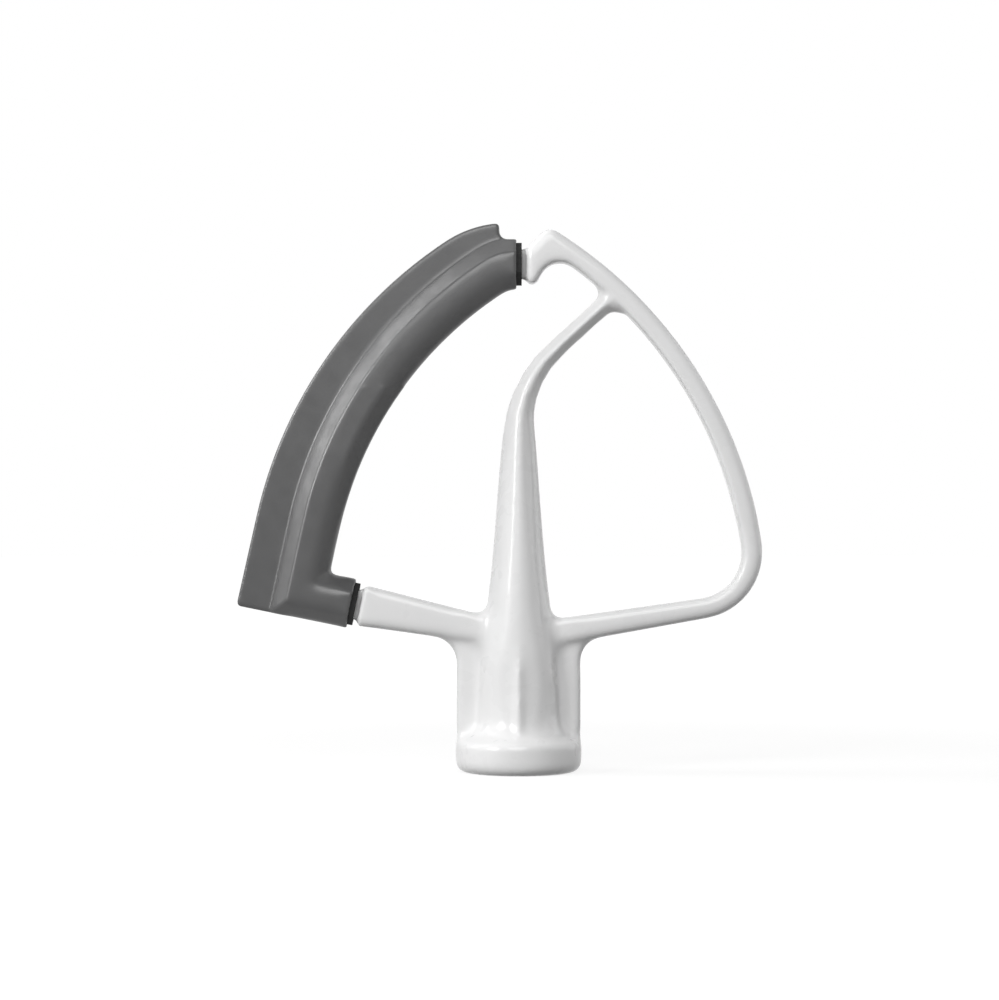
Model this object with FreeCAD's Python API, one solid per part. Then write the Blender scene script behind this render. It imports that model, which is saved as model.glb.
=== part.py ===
import FreeCAD, Part
import math
import os

from FreeCAD import Vector

# Flat beater for a stand mixer, with a flexible scraping edge moulded on one side.
# Millimetres. Z is the drive axis and the beater stands on the rim of its hub at Z = 0, tip upwards.
# The blade lies in the XZ plane: X points away from the scraping edge and -Y is the front.

# Drive hub
BORE_DIAMETER = 12.9
BORE_DEPTH = 27.0
PIN_SLOT_WIDTH = 4.6
PIN_SLOT_REACH = 8.8
PIN_SLOT_HEIGHT = 17.0
PIN_TURN_ANGLE = 70.0
COLLAR_DIAMETER = 32.7
COLLAR_HEIGHT = 8.9
COLLAR_FOOT_ROUND = 3.0
COLLAR_FOOT_STEPS = 4
COLLAR_LIP_ROUND = 1.2
COLLAR_LIP_STEPS = 2
BARREL_DIAMETER = 21.6
BARREL_FLARE = 4.6
FLARE_TUCK = 0.6
FLARE_BEND = 0.8
BARREL_TOP_Z = 27.0
WEB_SPAN = 32.2
WEB_THICKNESS = 4.6
WEB_EDGE_ROUND = 1.6
LEFT_WEB_FILLET = 7.2
RIGHT_WEB_FILLET = 6.4
RIB_FOOT_HEIGHT = 2.3
RIB_TOP_HEIGHT = 0.7
RIB_END_TUCK = 0.9
RIB_FACE_ANGLE = 42.0
RIB_ROOT = 3.6

# Spine that rises from the hub and leans over into a branch
SPINE_ROOT_Z = 46.0
SPINE_ROOT_WIDTH = 15.6
SPINE_ROOT_DEPTH = 18.4
SPINE_MIDDLE_WIDTH = 11.7
SPINE_MIDDLE_DEPTH = 14.0
SPINE_BEND_Z = 88.0
SPINE_BEND_RADIUS = 30.0
SPINE_NECK_WIDTH = 8.9
SPINE_NECK_DEPTH = 10.8
BRANCH_ANGLE = 42.0
BRANCH_WIDTH = 4.8
BRANCH_DEPTH = 8.2
SPINE_ROOT_FULLNESS = 0.66
SPINE_NECK_FULLNESS = 0.6
BRANCH_FULLNESS = 0.54
SPINE_FILLET = 2.2
BRANCH_FLARE_WIDTH = 18.0
BRANCH_FLARE_LENGTH = 4.5

# Arms
ARM_DEPTH = 9.0
ARM_EDGE_ROUND = 2.3
ARM_INNER_CHAMFER = 0.5
ARM_TOP_Z = 38.4
RIGHT_ARM_BOTTOM_Z = 31.2
RIGHT_ARM_BOTTOM_SLOPE = 10.2
RIGHT_ARM_TOP_SLOPE = 8.0
LEFT_ARM_BOTTOM_Z = 32.2
LEFT_ARM_END_WIDTH = 10.7
LEFT_ARM_END_CHAMFER = 0.6
ARC_CENTRE_X = -51.9
ARC_CENTRE_Z = 41.8
ARC_RADIUS = 116.4
ARC_WIDTH = 5.25
CORNER_OUTER_RADIUS = 17.4
CORNER_INNER_RADIUS = 12.0

# Hooked tip
HOOK_THICKNESS = 5.25
HOOK_WALL_ANGLE = 63.0
HOOK_RADIUS = 5.5
HOOK_BULGE_RADIUS = 1.55
HOOK_EDGE_ROUND = 1.4
TIP_FLANK_RISE = 4.0
TIP_FLANK_ANGLE = 45.5
TIP_RADIUS = 3.2

# Centre line of the bar inside the scraping edge
SWEEP_CENTRE_X = 49.6
SWEEP_CENTRE_Z = 41.9
SWEEP_RADIUS = 104.9
TIP_BEND_RADIUS = 13.0
LEG_TILT = 12.3
FOOT_TILT = 11.5
FOOT_END_X = -43.4
FOOT_END_Z = 43.8
SLEEVE_TIP_X = -0.45
COLLAR_REACH = 1.25
NECK_GAP = 1.15
CORE_EMBED = 2.2

# Sections of the scraping edge
SLEEVE_WIDTH = 13.0
SLEEVE_DEPTH = 11.0
SLEEVE_FACE = 5.5
SLEEVE_SIDE = 3.0
SILICONE_WALL = 1.0
CORE_WIDTH = 7.6
CORE_DEPTH = 4.0
CORE_BEND_RADIUS = 5.0
BLADE_CENTRE_X = 44.8
BLADE_CENTRE_Z = 41.4
BLADE_RADIUS = 115.7
BLADE_TILT = 12.7
BLADE_THICKNESS = 2.2
BLADE_END_X = -5.0
BLADE_END_RADIUS = 29.0
BLADE_END_SLOPE = 4.0
BLADE_CORNER_RADIUS = 1.0
BLADE_ROOT_FILLET = 2.0

SKETCH_PLANE = Part.Plane(Vector(0, 0, 0), Vector(0, -1, 0))
DEPTH_AXIS = Vector(0, 1, 0)
TOLERANCE = 1e-4
BEND_RINGS = 5


def point(x, z):
    return Vector(x, 0, z)


def toward(angle):
    """Unit vector in the blade plane, with the angle measured from X towards Z."""
    return point(math.cos(math.radians(angle)), math.sin(math.radians(angle)))


def segment(start, end):
    return Part.LineSegment(start, end).toShape()


def arc(centre, radius, start_angle, end_angle):
    angles = (start_angle, (start_angle + end_angle) / 2, end_angle)
    return Part.Arc(*[centre + toward(a) * radius for a in angles]).toShape()


def angle_on(centre, place):
    return math.degrees(math.atan2(place.z - centre.z, place.x - centre.x))


def line_meets_circle(start, direction, centre, radius):
    """Where a ray from inside a circle leaves it."""
    offset = start - centre
    along = offset.dot(direction)
    reach = math.sqrt(along ** 2 - offset.dot(offset) + radius ** 2) - along
    return start + direction * reach


def rounded_corner(first, second, corner, radius):
    """Returns the two edges trimmed at their common corner, and the tangent arc between them."""
    fillet = Part.ChFi2d.FilletAlgo()
    fillet.init(first, second, SKETCH_PLANE)
    fillet.perform(radius)
    return fillet.result(corner)


def common_end(first, second):
    """The end point that two edges share."""
    pairs = [(a.Point, b.Point) for a in first.Vertexes for b in second.Vertexes]
    return min(pairs, key=lambda pair: pair[0].distanceToPoint(pair[1]))[0]


def outline(edges, radii):
    """A closed outline: edge i meets edge i + 1 in a corner of radius radii[i], and 0 leaves it sharp."""
    edges = list(edges)
    following = [(i + 1) % len(edges) for i in range(len(edges))]
    corners = [common_end(edges[i], edges[j]) for i, j in enumerate(following)]
    joints = [[] for edge in edges]
    for i, radius in enumerate(radii):
        if radius:
            j = following[i]
            rounding, edges[i], edges[j] = rounded_corner(edges[i], edges[j], corners[i], radius)
            joints[i] = [rounding]
    return [edge for own, joint in zip(edges, joints) for edge in [own] + joint]


def plate(chain, depth):
    """Extrudes a closed outline to a plate centred on the blade plane."""
    face = Part.Face(Part.Wire(Part.__sortEdges__(chain)))
    face.translate(DEPTH_AXIS * (-depth / 2))
    return face.extrude(DEPTH_AXIS * depth)


def rim_edges(solid, curves, depth, inset=0):
    """The front and back edges of a plate that lie over the given curves of its outline, or inset from them."""
    found = {}
    for curve in curves:
        half_way = (curve.FirstParameter + curve.LastParameter) / 2
        across = curve.tangentAt(half_way).cross(DEPTH_AXIS)
        for side in (-1, 1):
            for shift in (-inset, inset):
                target = Part.Vertex(curve.valueAt(half_way) + across * shift + DEPTH_AXIS * (side * depth / 2))
                found.update({e.hashCode(): e for e in solid.Edges if e.distToShape(target)[0] < TOLERANCE})
    return list(found.values())


def eased(solid, curves, depth, radius):
    """Rounds the front and back edges over those curves with three steps that all touch the same arc."""
    first = radius * (2 - math.sqrt(2))
    second = radius * (math.tan(math.pi / 8) - math.tan(math.pi / 16))
    solid = solid.makeChamfer(first, rim_edges(solid, curves, depth))
    ridges = rim_edges(solid, curves, depth, first) + rim_edges(solid, curves, depth - 2 * first)
    return solid.makeChamfer(second, ridges)


def octagon(inset):
    """Section of the scraping edge, shrunk evenly by inset: u across the bar, y through it."""
    half_width = SLEEVE_WIDTH / 2 - inset
    half_depth = SLEEVE_DEPTH / 2 - inset
    normal_u = (SLEEVE_DEPTH - SLEEVE_SIDE) / 2
    normal_y = (SLEEVE_WIDTH - SLEEVE_FACE) / 2
    length = math.hypot(normal_u, normal_y)
    normal_u /= length
    normal_y /= length
    reach = SLEEVE_FACE / 2 * normal_u + SLEEVE_DEPTH / 2 * normal_y - inset
    face = (reach - half_depth * normal_y) / normal_u
    side = (reach - half_width * normal_u) / normal_y
    quarter = [(half_width, side), (face, half_depth)]
    corners = quarter + [(-u, y) for u, y in reversed(quarter)]
    corners += [(-u, -y) for u, y in corners]
    places = [point(u, y) for u, y in corners]
    return Part.makePolygon(places + places[:1])


def stood_across(section, place):
    """Turns a section drawn in the sketch plane so that it crosses a path leaving its place along -X."""
    turned = section.copy()
    turned.rotate(Vector(0, 0, 0), Vector(1, 1, 1), -120)
    turned.translate(place)
    return turned


class SweepLine:
    """Centre line of the bar: level out of the tip, round the bowl's curve, down the leg and along the foot."""

    centre = point(SWEEP_CENTRE_X, SWEEP_CENTRE_Z)
    foot_along = toward(-FOOT_TILT)
    foot_end = point(FOOT_END_X, FOOT_END_Z)
    bend_reach = SWEEP_RADIUS - TIP_BEND_RADIUS
    bend_angle = math.degrees(math.acos((SLEEVE_TIP_X - SWEEP_CENTRE_X) / bend_reach))
    leg_angle = 180 - LEG_TILT
    bend_centre = centre + toward(bend_angle) * bend_reach
    tip_end = bend_centre + point(0, TIP_BEND_RADIUS)
    leg_top = centre + toward(leg_angle) * SWEEP_RADIUS
    leg_along = toward(leg_angle + 90)
    _gap = foot_end - leg_top
    _turn = leg_along.x * foot_along.z - leg_along.z * foot_along.x
    corner = leg_top + leg_along * ((_gap.x * foot_along.z - _gap.z * foot_along.x) / _turn)

    @classmethod
    def upper(cls):
        bend = arc(cls.bend_centre, TIP_BEND_RADIUS, 90, cls.bend_angle)
        return [bend, arc(cls.centre, SWEEP_RADIUS, cls.bend_angle, cls.leg_angle)]

    @classmethod
    def wire(cls, past_ends, bend_radius):
        """The whole line, running past the sleeve's two ends, with its foot corner rounded or left sharp."""
        start = cls.tip_end + point(past_ends, 0)
        finish = cls.foot_end + cls.foot_along * past_ends
        lead = [segment(start, cls.tip_end)] if past_ends else []
        leg = segment(cls.leg_top, cls.corner)
        foot = segment(cls.corner, finish)
        turn = []
        if bend_radius:
            rounding, leg, foot = rounded_corner(leg, foot, cls.corner, bend_radius)
            turn = [rounding]
        return Part.Wire(Part.__sortEdges__(lead + cls.upper() + [leg] + turn + [foot])), start


def swept_bar(section, past_ends, bend_radius):
    """Carries a section along the centre line, past the sleeve's two ends."""
    path, start = SweepLine.wire(past_ends, bend_radius)
    right_corners = 1
    return path.makePipeShell([stood_across(section, start)], True, False, right_corners)


def core_bar(past_ends):
    """The bar of the casting inside the scraping edge."""
    corners = [(1, 1), (-1, 1), (-1, -1), (1, -1), (1, 1)]
    section = Part.makePolygon([point(u * CORE_WIDTH / 2, y * CORE_DEPTH / 2) for u, y in corners])
    return swept_bar(section, past_ends, CORE_BEND_RADIUS)


def carrier_envelope():
    return swept_bar(octagon(SILICONE_WALL), COLLAR_REACH, 0)


def ring(place, along, width, depth, fullness):
    """Eight control points round the spine: fullness 0.7 draws a circle and 0.5 a diamond with rounded ridges."""
    across = along.cross(DEPTH_AXIS) * (width / 2)
    through = DEPTH_AXIS * (depth / 2)
    spread = 3 / (2 + fullness)
    places = []
    for u, y in ((0, 1), (1, 0), (0, -1), (-1, 0)):
        next_u, next_y = y, -u
        places.append(place + (across * u + through * y) * spread)
        places.append(place + (across * (u + next_u) + through * (y + next_y)) * (spread * fullness))
    return places


def tube(rings):
    """A closed solid whose smooth skin is drawn by rings of control points."""
    degree = 3
    around = len(rings[0])
    spans = len(rings) - degree
    skin = Part.BSplineSurface()
    skin.buildFromPolesMultsKnots(
        [list(row) for row in zip(*rings)],
        [1] * (around + 1), [degree + 1] + [1] * (spans - 1) + [degree + 1],
        list(range(around + 1)), list(range(spans + 1)),
        True, False, degree, degree)
    side = skin.toShape()
    ends = [Part.Face(Part.Wire(edge)) for edge in side.Edges if edge.isClosed() and not edge.isSeam(side)]
    shell = Part.makeShell([side] + ends)
    shell.sewShape()
    return Part.makeSolid(shell)


def blend(first, second, share):
    return first + (second - first) * share


def spine():
    """Barrel, spine and branch in one skin along the drive axis, the bend and the branch."""
    up = point(0, 1)
    bend_centre = point(SPINE_BEND_RADIUS, SPINE_BEND_Z)
    branch_along = toward(BRANCH_ANGLE)
    branch_start = bend_centre + toward(90 + BRANCH_ANGLE) * SPINE_BEND_RADIUS
    arc_centre = point(ARC_CENTRE_X, ARC_CENTRE_Z)
    branch_end = line_meets_circle(branch_start, branch_along, arc_centre, ARC_RADIUS - ARC_WIDTH / 2)
    foot_diameter = BARREL_DIAMETER + 2 * BARREL_FLARE
    foot = (foot_diameter, foot_diameter, math.sqrt(0.5))
    barrel = (BARREL_DIAMETER, BARREL_DIAMETER, math.sqrt(0.5))
    root = (SPINE_ROOT_WIDTH, SPINE_ROOT_DEPTH, SPINE_ROOT_FULLNESS)
    middle = (SPINE_MIDDLE_WIDTH, SPINE_MIDDLE_DEPTH, blend(SPINE_ROOT_FULLNESS, SPINE_NECK_FULLNESS, 0.5))
    neck = (SPINE_NECK_WIDTH, SPINE_NECK_DEPTH, SPINE_NECK_FULLNESS)
    branch = (BRANCH_WIDTH, BRANCH_DEPTH, BRANCH_FULLNESS)
    flare = (BRANCH_FLARE_WIDTH, BRANCH_DEPTH, BRANCH_FULLNESS)

    def between(first, second, share):
        return [blend(a, b, share) for a, b in zip(first, second)]

    levels = [
        (COLLAR_HEIGHT - FLARE_TUCK, foot), (COLLAR_HEIGHT + FLARE_TUCK, between(foot, barrel, FLARE_BEND)),
        (COLLAR_HEIGHT + BARREL_FLARE, barrel), (BARREL_TOP_Z, barrel),
        (blend(BARREL_TOP_Z, SPINE_ROOT_Z, 0.5), between(barrel, root, 0.5)), (SPINE_ROOT_Z, root),
        (blend(SPINE_ROOT_Z, SPINE_BEND_Z, 0.5), middle),
    ]
    rings = [ring(point(0, z), up, *size) for z, size in levels]
    step = math.radians((90 - BRANCH_ANGLE) / BEND_RINGS)
    for i in range(BEND_RINGS + 1):
        share = i / BEND_RINGS
        turned = blend(180, 90 + BRANCH_ANGLE, share)
        pull = 3 / (2 + math.cos(step)) if 0 < i < BEND_RINGS else 1
        place = bend_centre + toward(turned) * (SPINE_BEND_RADIUS * pull)
        rings.append(ring(place, toward(turned - 90), *between(neck, branch, math.sqrt(share))))
    branch_length = branch_start.distanceToPoint(branch_end)
    flare_root = branch_length - ARC_WIDTH / 2
    steps = [
        (flare_root - BRANCH_FLARE_LENGTH, branch), (flare_root - BRANCH_FLARE_LENGTH / 3, branch),
        (flare_root, between(branch, flare, 0.5)), (branch_length, flare),
    ]
    for distance, size in steps:
        rings.append(ring(branch_start + branch_along * distance, branch_along, *size))
    return tube(rings)


def quarter_turn(centre, radius, start_angle, steps):
    """Places on a quarter circle, for a rounding made in flat steps."""
    return [centre + toward(start_angle + 90 * i / steps) * radius for i in range(steps + 1)]


def collar():
    """The hub's collar, its foot and its lip rounded in conical steps."""
    radius = COLLAR_DIAMETER / 2
    foot_centre = point(radius - COLLAR_FOOT_ROUND, COLLAR_FOOT_ROUND)
    lip_centre = point(radius - COLLAR_LIP_ROUND, COLLAR_HEIGHT - COLLAR_LIP_ROUND)
    foot = quarter_turn(foot_centre, COLLAR_FOOT_ROUND, -90, COLLAR_FOOT_STEPS)
    lip = quarter_turn(lip_centre, COLLAR_LIP_ROUND, 0, COLLAR_LIP_STEPS)
    profile = Part.Face(Part.makePolygon([point(0, 0)] + foot + lip + [point(0, COLLAR_HEIGHT), point(0, 0)]))
    return profile.revolve(Vector(0, 0, 0), Vector(0, 0, 1), 360)


def right_loop():
    """The lower right arm, the right arm and the hooked tip, in two plates that meet under the branch."""
    centre = point(ARC_CENTRE_X, ARC_CENTRE_Z)
    inner_radius = ARC_RADIUS - ARC_WIDTH
    bottom_start = point(0, RIGHT_ARM_BOTTOM_Z)
    top_start = point(0, ARM_TOP_Z)
    outer_corner = line_meets_circle(bottom_start, toward(RIGHT_ARM_BOTTOM_SLOPE), centre, ARC_RADIUS)
    inner_corner = line_meets_circle(top_start, toward(RIGHT_ARM_TOP_SLOPE), centre, inner_radius)
    branch_root = point(0, SPINE_BEND_Z + SPINE_BEND_RADIUS * math.tan(math.radians((90 - BRANCH_ANGLE) / 2)))
    split_angle = angle_on(centre, line_meets_circle(branch_root, toward(BRANCH_ANGLE), centre, inner_radius))

    arm = outline([
        segment(bottom_start, outer_corner),
        arc(centre, ARC_RADIUS, angle_on(centre, outer_corner), split_angle),
        segment(centre + toward(split_angle) * ARC_RADIUS, centre + toward(split_angle) * inner_radius),
        arc(centre, inner_radius, split_angle, angle_on(centre, inner_corner)),
        segment(inner_corner, top_start),
        segment(top_start, bottom_start),
    ], [CORNER_OUTER_RADIUS, 0, 0, CORNER_INNER_RADIUS, 0, 0])
    arm_plate = plate(arm, ARM_DEPTH)
    arm_plate = eased(arm_plate, arm[0:3], ARM_DEPTH, ARM_EDGE_ROUND)
    arm_plate = arm_plate.makeChamfer(ARM_INNER_CHAMFER, rim_edges(arm_plate, arm[4:7], ARM_DEPTH))

    neck = SweepLine.tip_end + point(COLLAR_REACH + NECK_GAP, 0)
    flank_start = neck + point(0, TIP_FLANK_RISE)
    apex = line_meets_circle(flank_start, toward(TIP_FLANK_ANGLE), centre, ARC_RADIUS)
    wall_middle = neck + point(HOOK_THICKNESS, 0)
    wall_along = toward(HOOK_WALL_ANGLE)
    wall_top = line_meets_circle(wall_middle, wall_along, centre, inner_radius)
    spike = wall_middle - wall_along * (HOOK_THICKNESS / wall_along.x)
    hook = outline([
        segment(flank_start, spike),
        segment(spike, wall_top),
        arc(centre, inner_radius, angle_on(centre, wall_top), split_angle),
        segment(centre + toward(split_angle) * inner_radius, centre + toward(split_angle) * ARC_RADIUS),
        arc(centre, ARC_RADIUS, split_angle, angle_on(centre, apex)),
        segment(apex, flank_start),
    ], [HOOK_BULGE_RADIUS, HOOK_RADIUS, 0, 0, TIP_RADIUS, 0])
    hook_plate = plate(hook, ARM_DEPTH)
    hook_plate = eased(hook_plate, hook[6:9], ARM_DEPTH, ARM_EDGE_ROUND)
    hook_plate = eased(hook_plate, hook[0:5], ARM_DEPTH, HOOK_EDGE_ROUND)
    return [arm_plate, hook_plate]


def left_arm():
    """The lower left arm, whose end carries the reduced bar of the scraping edge."""
    end = SweepLine.foot_end + SweepLine.foot_along * (COLLAR_REACH + NECK_GAP)
    across = toward(90 - FOOT_TILT) * (LEFT_ARM_END_WIDTH / 2)
    corners = [end - across, point(0, LEFT_ARM_BOTTOM_Z), point(0, ARM_TOP_Z), end + across]
    edges = [segment(a, b) for a, b in zip(corners, corners[1:] + corners[:1])]
    solid = plate(edges, ARM_DEPTH)
    solid = eased(solid, edges[0:1], ARM_DEPTH, ARM_EDGE_ROUND)
    end_face = min(solid.Faces, key=lambda face: face.CenterOfMass.x)
    sharp = list(end_face.Edges) + rim_edges(solid, edges[2:3], ARM_DEPTH)
    unique = []
    for edge in sharp:
        if not any(edge.isSame(other) for other in unique):
            unique.append(edge)
    return solid.makeChamfer(LEFT_ARM_END_CHAMFER, unique)


def webs():
    """Thin side plates between the barrel, the collar and the arms' undersides."""
    left_end = SweepLine.foot_end + SweepLine.foot_along * (COLLAR_REACH + NECK_GAP)
    left_end = left_end - toward(90 - FOOT_TILT) * (LEFT_ARM_END_WIDTH / 2)
    left_start = point(0, LEFT_ARM_BOTTOM_Z)
    right_start = point(0, RIGHT_ARM_BOTTOM_Z)
    sides = [
        (left_start, left_end - left_start, LEFT_WEB_FILLET),
        (right_start, toward(RIGHT_ARM_BOTTOM_SLOPE), RIGHT_WEB_FILLET),
    ]
    solids = []
    for start, along, fillet in sides:
        side = math.copysign(1, along.x)
        edge_x = side * WEB_SPAN / 2
        slope = along.z / along.x
        far_x = edge_x + side * 2 * fillet
        top = point(edge_x, start.z + slope * edge_x)
        far = point(far_x, start.z + slope * far_x)
        rise = point(0, ARM_EDGE_ROUND)
        foot = point(edge_x, COLLAR_HEIGHT / 2)
        rounding, upright, shelf = rounded_corner(segment(foot, top), segment(top, far), top, fillet)
        tangent = common_end(rounding, shelf)
        places = [tangent, tangent + rise, start + rise, point(0, COLLAR_HEIGHT / 2), foot]
        chain = [segment(a, b) for a, b in zip(places, places[1:])]
        solid = plate([upright, rounding] + chain, WEB_THICKNESS)
        solids.append(eased(solid, [upright, rounding], WEB_THICKNESS, WEB_EDGE_ROUND))
    return solids


def triangle(z, ridge, face_slope, side):
    """Level section of a rib: its ridge, and two faces that run back into the hub."""
    half_width = RIB_ROOT / face_slope
    back = side * (ridge - RIB_ROOT)
    ridge_place = Vector(0, side * ridge, z)
    return Part.makePolygon([ridge_place, Vector(half_width, back, z), Vector(-half_width, back, z), ridge_place])


def ribs():
    """Front and back ribs whose sharp ridges widen from the spine's ridge down to the collar."""
    barrel = BARREL_DIAMETER / 2
    slope = math.tan(math.radians(RIB_FACE_ANGLE))
    spine_ridge = SPINE_ROOT_DEPTH / 2
    heights = (COLLAR_HEIGHT / 2, BARREL_TOP_Z, SPINE_ROOT_Z)
    ridges = (barrel + RIB_FOOT_HEIGHT, barrel + RIB_TOP_HEIGHT, spine_ridge - RIB_END_TUCK)
    solids = []
    for side in (-1, 1):
        sections = [triangle(z, ridge, slope, side) for z, ridge in zip(heights, ridges)]
        solids.append(Part.makeLoft(sections, True, True))
    return solids


def socket():
    """What is cut from the hub: the shaft bore and the hooked slot for the drive pin."""
    bore = Part.makeCylinder(BORE_DIAMETER / 2, BORE_DEPTH)
    slot = Part.makeBox(PIN_SLOT_WIDTH, PIN_SLOT_REACH, PIN_SLOT_HEIGHT, Vector(-PIN_SLOT_WIDTH / 2, 0, 0))
    turn_base = Vector(0, 0, PIN_SLOT_HEIGHT - PIN_SLOT_WIDTH)
    turn = Part.makeCylinder(PIN_SLOT_REACH, PIN_SLOT_WIDTH, turn_base, Vector(0, 0, 1), PIN_TURN_ANGLE)
    turn.rotate(Vector(0, 0, 0), Vector(0, 0, 1), 90)
    return bore.fuse([slot, turn])


def skin_edges(body, lowest, highest):
    """Edges between those heights where the arms grow out of the spine's closed skin."""
    found = []
    for edge in body.Edges:
        surfaces = [face.Surface for face in body.ancestorsOfType(edge, Part.Face)]
        skins = [s for s in surfaces if isinstance(s, Part.BSplineSurface) and s.isUPeriodic()]
        if len(surfaces) == 2 and len(skins) == 1 and lowest < edge.CenterOfMass.z < highest:
            found.append(edge)
    return found


def beater_frame():
    core = core_bar(COLLAR_REACH + NECK_GAP + CORE_EMBED)
    body = spine().fuse([left_arm()] + right_loop()).Solids[0]
    body = body.makeFillet(SPINE_FILLET, skin_edges(body, BARREL_TOP_Z, SPINE_BEND_Z))
    body = body.fuse([collar(), core] + webs() + ribs())
    return body.cut(socket()).removeSplitter()


def blade():
    """The thin wiping blade, drawn from the bar's centre line out to its own longer arc."""
    line = SweepLine
    centre = point(BLADE_CENTRE_X, BLADE_CENTRE_Z)
    reach = BLADE_RADIUS - BLADE_END_RADIUS
    end_turn = 90 + BLADE_END_SLOPE
    end_offset = BLADE_END_X - toward(end_turn).x * BLADE_END_RADIUS - BLADE_CENTRE_X
    end_angle = math.degrees(math.acos(end_offset / reach))
    end_centre = centre + toward(end_angle) * reach
    tip_corner = end_centre + toward(end_turn) * BLADE_END_RADIUS
    leg_angle = 180 - BLADE_TILT
    leg_top = centre + toward(leg_angle) * BLADE_RADIUS
    leg_along = toward(leg_angle + 90)
    foot_base = line.corner - toward(90 - FOOT_TILT) * (SLEEVE_WIDTH / 2)
    gap = foot_base - leg_top
    turn = leg_along.x * line.foot_along.z - leg_along.z * line.foot_along.x
    foot_corner = leg_top + leg_along * ((gap.x * line.foot_along.z - gap.z * line.foot_along.x) / turn)
    sleeve_top = line.tip_end.z + SLEEVE_WIDTH / 2
    root = point(BLADE_END_X, sleeve_top)
    chain = outline([
        segment(line.tip_end, point(line.tip_end.x, sleeve_top)),
        segment(point(line.tip_end.x, sleeve_top), root),
        segment(root, tip_corner),
        arc(end_centre, BLADE_END_RADIUS, end_turn, end_angle),
        arc(centre, BLADE_RADIUS, end_angle, leg_angle),
        segment(leg_top, foot_corner),
        segment(foot_corner, foot_base),
        segment(foot_base, line.corner),
        segment(line.corner, line.leg_top),
    ] + line.upper()[::-1], [0, BLADE_ROOT_FILLET, BLADE_CORNER_RADIUS, 0, 0, BLADE_CORNER_RADIUS] + [0] * 5)
    return plate(chain, BLADE_THICKNESS)


def edge_carrier():
    return carrier_envelope().cut(core_bar(COLLAR_REACH))


def scraper_edge():
    sleeve = swept_bar(octagon(0), 0, 0)
    return sleeve.fuse(blade()).cut(carrier_envelope()).removeSplitter()


def main():
    os.makedirs("parts", exist_ok=True)
    for build in (beater_frame, edge_carrier, scraper_edge):
        shape = build()
        print(build.__name__, shape.ShapeType, len(shape.Solids), shape.isValid(), round(shape.Volume, 1))
        shape.exportStep("parts/" + build.__name__ + ".step")


main()
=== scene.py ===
import math

import bpy
import numpy
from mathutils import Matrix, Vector

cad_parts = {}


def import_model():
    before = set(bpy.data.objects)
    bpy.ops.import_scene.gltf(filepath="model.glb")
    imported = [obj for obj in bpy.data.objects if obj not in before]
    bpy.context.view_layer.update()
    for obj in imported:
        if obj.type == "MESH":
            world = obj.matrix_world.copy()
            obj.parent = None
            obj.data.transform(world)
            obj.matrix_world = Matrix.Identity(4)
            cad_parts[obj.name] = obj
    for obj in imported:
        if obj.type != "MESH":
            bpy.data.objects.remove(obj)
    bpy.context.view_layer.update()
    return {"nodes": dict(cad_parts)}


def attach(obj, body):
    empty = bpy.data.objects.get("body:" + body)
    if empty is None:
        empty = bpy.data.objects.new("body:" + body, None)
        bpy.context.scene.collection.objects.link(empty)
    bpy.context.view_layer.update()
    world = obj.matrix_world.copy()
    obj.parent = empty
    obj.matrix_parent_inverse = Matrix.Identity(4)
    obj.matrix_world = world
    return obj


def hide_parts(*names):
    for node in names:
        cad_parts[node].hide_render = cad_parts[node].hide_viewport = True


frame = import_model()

# Looks of a coated flat beater with a soft scraping edge, in metres, in the CAD frame.

# Camera: level, facing the blade's plane, at the height of the beater's middle.
PHOTO_WIDTH = 0.25974
CAMERA_DISTANCE = 0.8
CAMERA_X = -0.00497
CAMERA_Z = 0.0707
SENSOR_WIDTH = 36.0

# Light: the lamps aim at the beater's middle, and the world is white to look at but lights it only faintly.
LAMP_AIM = Vector((0, 0, 0.07))
WORLD_LIGHT = 0.06
WHITE = 1.0

# Floor: round the beater it is lit by the lamps, and further out it shows white by itself.
FLOOR_REACH = 3.0
FLOOR_GREY = 0.2
FLOOR_GLOW_NEAR = 0.86
FLOOR_SHADE_RADIUS = 0.15
FLOOR_WHITE_RADIUS = 0.45

# Meshes
COAT_VOXEL = 0.0005
SILICONE_VOXEL = 0.0004
ROUNDING_STEP = 0.5
SWELLING_STEP = -0.53
FIRST_PASSES = 4
LAST_PASSES = 4
LAST_PAIRS = 8

# Round zones of the casting, each with a centre and a reach along X and Z: the lower arms' roots on the hub,
# the branch's junction with the outer arm, and the hooked tip.
ROOT_CENTRE = (0, 0.0375)
ROOT_REACH = (0.016, 0.010)
ROOT_PASSES = 12
JUNCTION_CENTRE = (0.0224, 0.1235)
JUNCTION_REACH = (0.011, 0.011)
HOOK_CENTRE = (0.009, 0.131)
HOOK_REACH = (0.012, 0.009)
HOOK_PASSES = 10
FILL_PASSES = 60
ZONE_CORE = 0.7
ZONE_END = 1.1

# Lower arms, from the hub out to the left neck and the right corner
ARM_LEVELS = (0.029, 0.062)
ARM_FROM_X = 0.013
ARM_FADE = 0.005
ARM_END_X = -0.0395
ARM_END_FADE = 0.003
ARM_PASSES = 24

# Spine, which leans over towards the branch, and its straight stretch
SPINE_LEVELS = (0.044, 0.109)
SPINE_FADE = 0.004
SPINE_HALF_WIDTH = 0.013
SPINE_CORE_HALF_WIDTH = 0.0104
SPINE_LEAN_FROM = 0.09
SPINE_LEAN = 0.6
SPINE_PAIRS = 60
STRAIGHT_LEVELS = (0.043, 0.091)
STRAIGHT_FADE = 0.006
STRAIGHT_WAVES = 8
STRAIGHT_POWERS = 4

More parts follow.
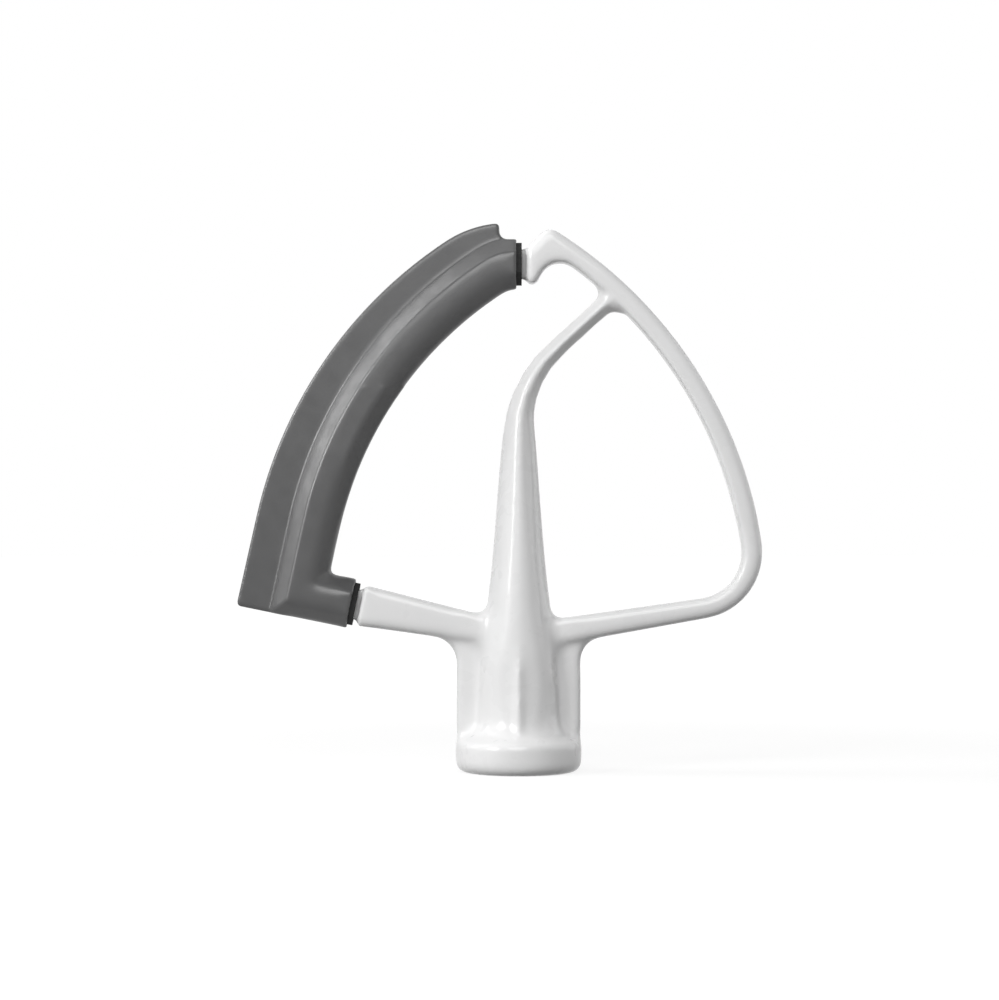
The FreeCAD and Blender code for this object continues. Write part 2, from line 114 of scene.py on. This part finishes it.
# Lip of the hub's collar, and the rib on the barrel
LIP_LEVELS = (0.0080, 0.0112)
LIP_FADE = 0.0012
LIP_PASSES = 24
RIB_LEVELS = (0.013, 0.036)
RIB_HALF_WIDTH = 0.004
RIB_FADE = 0.003
RIB_PASSES = 12

# Soft edge: its inner side is rounder than the side with the blade, apart from the sleeve's two ends.
EDGE_CENTRE = (0.0496, 0.0419)
EDGE_RADIUS = 0.1049
EDGE_LEG_ANGLE = 167.7
EDGE_SHARP_FROM = 0.0005
EDGE_SHARP_AT = 0.0035
EDGE_TIP_FROM_Z = 0.1
EDGE_TIP_END_X = -0.00045
EDGE_FOOT_END_X = -0.0434
EDGE_END_SHARP = 0.001
EDGE_END_REACH = 0.004
EDGE_PASSES = 36

# The middle of a noise's values, which a material spreads over its own range
NOISE_LOW = 0.3
NOISE_HIGH = 0.7


def fade(values, full, none):
    """1 from the value full on and 0 from the value none on, with a smooth change between them."""
    share = numpy.clip((values - none) / (full - none), 0, 1)
    return share * share * (3 - 2 * share)


def between(values, levels, edge):
    """1 between two levels, fading to 0 over an edge outside each of them."""
    low, high = levels
    return fade(values, low, low - edge) * fade(values, high, high + edge)


class Fine:
    """A finer copy of a CAD node, whose edges can be eased as a coat of paint or a mould leaves them."""

    def __init__(self, node, name, voxel):
        self.piece = bpy.data.objects.new(name, frame["nodes"][node].data.copy())
        bpy.context.scene.collection.objects.link(self.piece)
        remesh = self.piece.modifiers.new("even_mesh", "REMESH")
        remesh.mode = "VOXEL"
        remesh.voxel_size = voxel
        shape = self.piece.evaluated_get(bpy.context.evaluated_depsgraph_get())
        self.mesh = bpy.data.meshes.new_from_object(shape)
        self.piece.modifiers.clear()
        self.piece.data = self.mesh
        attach(self.piece, "root")
        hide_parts(node)
        flat = numpy.empty(len(self.mesh.vertices) * 3)
        self.mesh.vertices.foreach_get("co", flat)
        self.places = flat.reshape(-1, 3)
        ends = numpy.empty(len(self.mesh.edges) * 2, dtype=int)
        self.mesh.edges.foreach_get("vertices", ends)
        self.first, self.second = ends.reshape(-1, 2).T
        self.neighbours = self.summed(numpy.ones(len(self.places)))

    def summed(self, values):
        """Adds up a value over each vertex's neighbours."""
        count = len(self.places)
        forward = numpy.bincount(self.first, values[self.second], count)
        return forward + numpy.bincount(self.second, values[self.first], count)

    def ease(self, steps, share):
        """Moves the vertices towards their neighbours' mean, by each step in turn and their own share."""
        share = numpy.broadcast_to(share, len(self.places))[:, None]
        for step in steps:
            mean = numpy.stack([self.summed(column) / self.neighbours for column in self.places.T], axis=1)
            self.places = self.places + (mean - self.places) * share * step

    def round_off(self, passes, share=1.0):
        """Rounds edges, which also shrinks thin forms a little."""
        self.ease([ROUNDING_STEP] * passes, share)

    def smooth(self, pairs, share=1.0):
        """Takes out small ripples and keeps the form's size."""
        self.ease([ROUNDING_STEP, SWELLING_STEP] * pairs, share)

    def fill(self, passes, share):
        """Fills hollow corners as rounding would, and leaves the rest as it is."""
        before = self.places
        self.mesh.vertices.foreach_set("co", before.ravel())
        self.mesh.update()
        flat = numpy.empty(len(before) * 3)
        self.mesh.vertices.foreach_get("normal", flat)
        outward = flat.reshape(-1, 3)
        self.round_off(passes, share)
        rise = numpy.sum((self.places - before) * outward, axis=1)
        self.places = before + outward * numpy.maximum(rise, 0)[:, None]

    def fair_round_axis(self, levels, half_width, ends):
        """Fits one smooth radius, by height and by the angle round the Z axis, to a straight stretch."""
        x, y, z = self.places.T
        low, high = levels
        chosen = numpy.flatnonzero((z > low) & (z < high) & (numpy.abs(x) < half_width))
        angle = numpy.arctan2(y[chosen], x[chosen])
        height = (z[chosen] - low) / (high - low)
        waves = [numpy.cos(angle * n) for n in range(STRAIGHT_WAVES + 1)]
        waves += [numpy.sin(angle * n) for n in range(1, STRAIGHT_WAVES + 1)]
        rises = [height ** power for power in range(STRAIGHT_POWERS)]
        terms = numpy.stack([wave * rise for wave in waves for rise in rises], axis=1)
        radius = numpy.hypot(x[chosen], y[chosen])
        fitted = terms @ numpy.linalg.lstsq(terms, radius, rcond=None)[0]
        share = fade(z[chosen], low + ends, low) * fade(z[chosen], high - ends, high)
        self.places[chosen, :2] *= (1 + share * (fitted / radius - 1))[:, None]

    def finish(self):
        self.mesh.vertices.foreach_set("co", self.places.ravel())
        self.mesh.update()
        self.mesh.shade_smooth()
        return self.piece


def coated_frame():
    fine = Fine("beater_frame", "coated_frame", COAT_VOXEL)
    fine.round_off(FIRST_PASSES)
    x, _, z = fine.places.T

    def near(centre, reach):
        distance = numpy.hypot((x - centre[0]) / reach[0], (z - centre[1]) / reach[1])
        return fade(distance, ZONE_CORE, ZONE_END)

    root = near(ROOT_CENTRE, ROOT_REACH)
    fine.fill(FILL_PASSES, numpy.maximum(root, near(JUNCTION_CENTRE, JUNCTION_REACH)))
    fine.round_off(HOOK_PASSES, near(HOOK_CENTRE, HOOK_REACH))
    arms = between(z, ARM_LEVELS, ARM_FADE)
    arms *= fade(numpy.abs(x), ARM_FROM_X + ARM_FADE, ARM_FROM_X)
    arms *= fade(x, ARM_END_X + ARM_END_FADE, ARM_END_X)
    fine.round_off(ARM_PASSES, arms)
    across = numpy.abs(x - numpy.maximum(0, z - SPINE_LEAN_FROM) * SPINE_LEAN)
    spine = between(z, SPINE_LEVELS, SPINE_FADE) * fade(across, SPINE_CORE_HALF_WIDTH, SPINE_HALF_WIDTH)
    fine.smooth(SPINE_PAIRS, spine)
    fine.fair_round_axis(STRAIGHT_LEVELS, SPINE_HALF_WIDTH, STRAIGHT_FADE)
    fine.round_off(ROOT_PASSES, root)
    fine.round_off(LIP_PASSES, between(z, LIP_LEVELS, LIP_FADE))
    rib = between(z, RIB_LEVELS, RIB_FADE)
    rib *= fade(numpy.abs(x), RIB_HALF_WIDTH, RIB_HALF_WIDTH + RIB_FADE)
    fine.round_off(RIB_PASSES, rib)
    fine.round_off(LAST_PASSES)
    fine.smooth(LAST_PAIRS)
    return fine.finish()


def silicone_edge():
    fine = Fine("scraper_edge", "silicone_edge", SILICONE_VOXEL)
    fine.round_off(FIRST_PASSES)
    x, _, z = fine.places.T
    right = x - EDGE_CENTRE[0]
    up = z - EDGE_CENTRE[1]
    leg = math.radians(EDGE_LEG_ANGLE)
    on_leg = numpy.arctan2(up, right) % (2 * math.pi) > leg
    along_leg = right * math.cos(leg) + up * math.sin(leg)
    reach = numpy.where(on_leg, along_leg, numpy.hypot(right, up))
    inner = fade(reach - EDGE_RADIUS, EDGE_SHARP_FROM, EDGE_SHARP_AT)
    end_x = numpy.where(z > EDGE_TIP_FROM_Z, EDGE_TIP_END_X, EDGE_FOOT_END_X)
    inner *= fade(x, end_x - EDGE_END_REACH, end_x - EDGE_END_SHARP)
    fine.round_off(EDGE_PASSES, inner)
    return fine.finish()


class Shader:
    """A Principled material whose colour, roughness and bump come from noise in the object's own space."""

    def __init__(self, name):
        self.material = bpy.data.materials.new(name)
        self.material.use_nodes = True
        self.nodes = self.material.node_tree.nodes
        self.links = self.material.node_tree.links
        self.surface = self.nodes["Principled BSDF"]
        self.place = self.nodes.new("ShaderNodeTexCoord").outputs["Object"]

    def noise(self, size, detail):
        texture = self.nodes.new("ShaderNodeTexNoise")
        texture.inputs["Scale"].default_value = 1 / size
        texture.inputs["Detail"].default_value = detail
        self.links.new(self.place, texture.inputs["Vector"])
        return texture.outputs["Fac"]

    def spread(self, fac, low, high):
        """Maps the middle of a noise to a range of numbers."""
        mapped = self.nodes.new("ShaderNodeMapRange")
        mapped.inputs["From Min"].default_value = NOISE_LOW
        mapped.inputs["From Max"].default_value = NOISE_HIGH
        mapped.inputs["To Min"].default_value = low
        mapped.inputs["To Max"].default_value = high
        self.links.new(fac, mapped.inputs["Value"])
        return mapped.outputs["Result"]

    def colours(self, fac, first, second):
        mix = self.nodes.new("ShaderNodeMix")
        mix.data_type = "RGBA"
        mix.inputs["A"].default_value = (*first, 1)
        mix.inputs["B"].default_value = (*second, 1)
        self.links.new(self.spread(fac, 0, 1), mix.inputs["Factor"])
        self.links.new(mix.outputs["Result"], self.surface.inputs["Base Color"])

    def roughness(self, fac, low, high):
        self.links.new(self.spread(fac, low, high), self.surface.inputs["Roughness"])

    def bump(self, fac, strength, depth):
        bump = self.nodes.new("ShaderNodeBump")
        bump.inputs["Strength"].default_value = strength
        bump.inputs["Distance"].default_value = depth
        self.links.new(fac, bump.inputs["Height"])
        self.links.new(bump.outputs["Normal"], self.surface.inputs["Normal"])


def white_coat():
    coat = Shader("white_coat")
    patches = coat.noise(size=0.02, detail=3)
    coat.colours(patches, first=(0.84, 0.84, 0.84), second=(0.86, 0.86, 0.86))
    coat.roughness(coat.noise(size=0.006, detail=2), low=0.26, high=0.3)
    coat.bump(coat.noise(size=0.0011, detail=1), strength=0.12, depth=0.0001)
    coat.surface.inputs["Specular IOR Level"].default_value = 0.25
    coat.surface.inputs["Coat Weight"].default_value = 0.35
    coat.surface.inputs["Coat Roughness"].default_value = 0.08
    return coat.material


def grey_silicone():
    grey = Shader("grey_silicone")
    patches = grey.noise(size=0.012, detail=4)
    grey.colours(patches, first=(0.046, 0.046, 0.047), second=(0.056, 0.056, 0.057))
    grey.roughness(grey.noise(size=0.004, detail=3), low=0.28, high=0.38)
    grey.bump(grey.noise(size=0.00035, detail=2), strength=0.15, depth=0.00008)
    grey.surface.inputs["Specular IOR Level"].default_value = 0.75
    return grey.material


def black_plastic():
    black = Shader("black_plastic")
    patches = black.noise(size=0.003, detail=3)
    black.colours(patches, first=(0.008, 0.008, 0.008), second=(0.014, 0.014, 0.014))
    black.roughness(black.noise(size=0.001, detail=2), low=0.45, high=0.6)
    black.bump(black.noise(size=0.0003, detail=2), strength=0.2, depth=0.00005)
    black.surface.inputs["Specular IOR Level"].default_value = 0.2
    return black.material


def seen_directly(tree):
    """1 for camera, mirror and glass rays, and 0 for the rays that carry light."""
    path = tree.nodes.new("ShaderNodeLightPath")
    total = path.outputs["Is Camera Ray"]
    for kind in ("Is Glossy Ray", "Is Transmission Ray"):
        larger = tree.nodes.new("ShaderNodeMath")
        larger.operation = "MAXIMUM"
        tree.links.new(total, larger.inputs[0])
        tree.links.new(path.outputs[kind], larger.inputs[1])
        total = larger.outputs["Value"]
    return total


def lamp(name, place, width, height, power):
    """A soft oval lamp that faces the beater's middle."""
    light = bpy.data.lights.new(name, "AREA")
    light.shape = "ELLIPSE"
    light.size = width
    light.size_y = height
    light.energy = power
    holder = bpy.data.objects.new(name, light)
    holder.location = place
    facing = LAMP_AIM - Vector(place)
    holder.rotation_euler = facing.to_track_quat("-Z", "Y").to_euler()
    bpy.context.scene.collection.objects.link(holder)


def lights():
    lamp("left_key", place=(-0.82, -0.66, 0.44), width=0.45, height=0.45, power=6.1)
    lamp("front_fill", place=(-0.1, -1.15, 0.75), width=0.9, height=0.9, power=8.6)
    lamp("left_strip", place=(-0.85, 0.06, 0.62), width=0.3, height=0.95, power=3.8)
    lamp("top_strip", place=(-0.25, 0.0, 1.05), width=0.25, height=0.7, power=0.6)
    lamp("right_fill", place=(1.1, 0.25, 0.35), width=1.2, height=1.2, power=4.0)


def world():
    space = bpy.data.worlds.new("white_studio")
    space.use_nodes = True
    tree = space.node_tree
    background = tree.nodes["Background"]
    background.inputs["Color"].default_value = (1, 1, 1, 1)
    strength = tree.nodes.new("ShaderNodeMapRange")
    strength.inputs["To Min"].default_value = WORLD_LIGHT
    strength.inputs["To Max"].default_value = WHITE
    tree.links.new(seen_directly(tree), strength.inputs["Value"])
    tree.links.new(strength.outputs["Result"], background.inputs["Strength"])
    bpy.context.scene.world = space


def pale_floor():
    """A grey matt surface that glows to white where it is looked at, so that only its shadows show."""
    material = bpy.data.materials.new("pale_floor")
    material.use_nodes = True
    tree = material.node_tree
    tree.nodes.remove(tree.nodes["Principled BSDF"])
    matt = tree.nodes.new("ShaderNodeBsdfDiffuse")
    matt.inputs["Color"].default_value = (FLOOR_GREY, FLOOR_GREY, FLOOR_GREY, 1)
    distance = tree.nodes.new("ShaderNodeVectorMath")
    distance.operation = "LENGTH"
    place = tree.nodes.new("ShaderNodeTexCoord").outputs["Object"]
    tree.links.new(place, distance.inputs[0])
    brightness = tree.nodes.new("ShaderNodeMapRange")
    brightness.inputs["From Min"].default_value = FLOOR_SHADE_RADIUS
    brightness.inputs["From Max"].default_value = FLOOR_WHITE_RADIUS
    brightness.inputs["To Min"].default_value = FLOOR_GLOW_NEAR
    brightness.inputs["To Max"].default_value = WHITE
    tree.links.new(distance.outputs["Value"], brightness.inputs["Value"])
    scaled = tree.nodes.new("ShaderNodeMath")
    scaled.operation = "MULTIPLY"
    tree.links.new(seen_directly(tree), scaled.inputs[0])
    tree.links.new(brightness.outputs["Result"], scaled.inputs[1])
    glow = tree.nodes.new("ShaderNodeEmission")
    tree.links.new(scaled.outputs["Value"], glow.inputs["Strength"])
    both = tree.nodes.new("ShaderNodeAddShader")
    tree.links.new(matt.outputs["BSDF"], both.inputs[0])
    tree.links.new(glow.outputs["Emission"], both.inputs[1])
    tree.links.new(both.outputs["Shader"], tree.nodes["Material Output"].inputs["Surface"])
    return material


def floor():
    mesh = bpy.data.meshes.new("floor")
    reach = FLOOR_REACH
    corners = [(-reach, -reach, 0), (reach, -reach, 0), (reach, reach, 0), (-reach, reach, 0)]
    mesh.from_pydata(corners, [], [(0, 1, 2, 3)])
    mesh.materials.append(pale_floor())
    ground = bpy.data.objects.new("floor", mesh)
    bpy.context.scene.collection.objects.link(ground)


def camera():
    lens = bpy.data.cameras.new("camera")
    lens.sensor_fit = "HORIZONTAL"
    lens.sensor_width = SENSOR_WIDTH
    lens.lens = SENSOR_WIDTH * CAMERA_DISTANCE / PHOTO_WIDTH
    holder = bpy.data.objects.new("camera", lens)
    holder.location = (CAMERA_X, -CAMERA_DISTANCE, CAMERA_Z)
    holder.rotation_euler = (math.radians(90), 0, 0)
    bpy.context.scene.collection.objects.link(holder)
    bpy.context.scene.camera = holder


def dress(piece, material):
    piece.data.materials.clear()
    piece.data.materials.append(material)


def main():
    bpy.context.scene.view_settings.view_transform = "Standard"
    dress(coated_frame(), white_coat())
    dress(silicone_edge(), grey_silicone())
    carrier = frame["nodes"]["edge_carrier"]
    carrier.data.materials.clear()
    carrier.data.materials.append(black_plastic())
    lights()
    world()
    floor()
    camera()


main()
